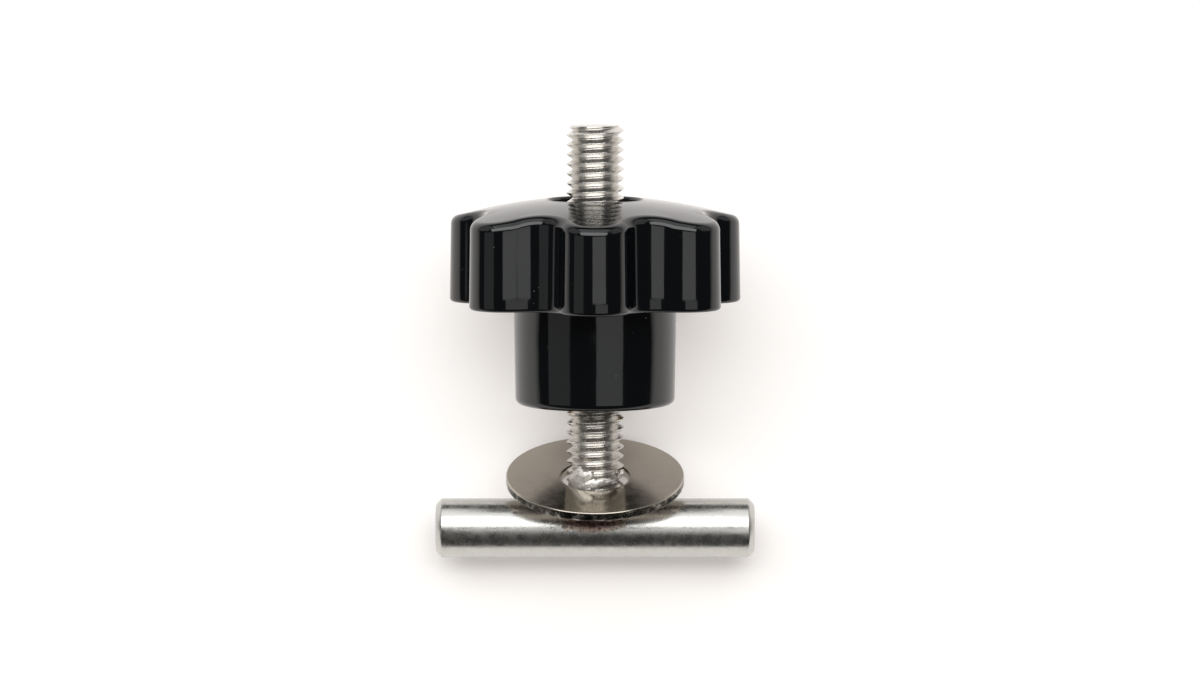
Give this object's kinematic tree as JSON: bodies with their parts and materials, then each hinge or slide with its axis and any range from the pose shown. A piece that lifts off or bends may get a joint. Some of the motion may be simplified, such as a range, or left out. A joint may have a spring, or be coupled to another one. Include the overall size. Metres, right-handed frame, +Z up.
{
  "type": "t-bolt with star knob",
  "caption": "T-bolt: round cross bar welded across the foot of a threaded stud, with a loose dished washer and a black star knob that winds along the thread.",
  "frame": {"origin": "centre of the footprint of the whole part, on the surface that it lies on", "axes": "+X along the cross bar, +Y along the surface from the cross bar towards the stud's free end, +Z up; the bolt axis lies in the YZ plane and leans up by 19.47 degrees"},
  "size_m": [0.0528, 0.0692, 0.0486],
  "materials": {
    "bar_steel": "satin stainless steel rod",
    "thread_steel": "rolled stainless thread",
    "weld_metal": "frosty stainless weld",
    "washer_steel": "polished dished face, rough sheared edge",
    "knob_plastic": "glossy black moulded phenolic",
    "insert_brass": "turned brass"
  },
  "bodies": {
    "t_bolt": {"cross_bar": "bar_steel", "threaded_stud": "thread_steel", "weld_bead": "weld_metal", "dished_washer": "washer_steel"},
    "insert": {"threaded_insert": "insert_brass"},
    "knob": {"star_knob": "knob_plastic"}
  },
  "joints": [
    {"name": "knob_travel", "type": "slide", "parent": "t_bolt", "child": "insert", "axis": [0, 0.9428, 0.3334], "range_m": [-0.00715, 0.01747]},
    {"name": "knob_turn", "type": "hinge", "parent": "insert", "child": "knob", "pos_m": [0, 0.00556, 0.02128], "axis": [0, 0.9428, 0.3334], "range_deg": [-1620, 3960]}
  ],
  "couplings": [
    {"joint": "knob_travel", "follows": "knob_turn", "m_per_rad": 0.00025266}
  ]
}
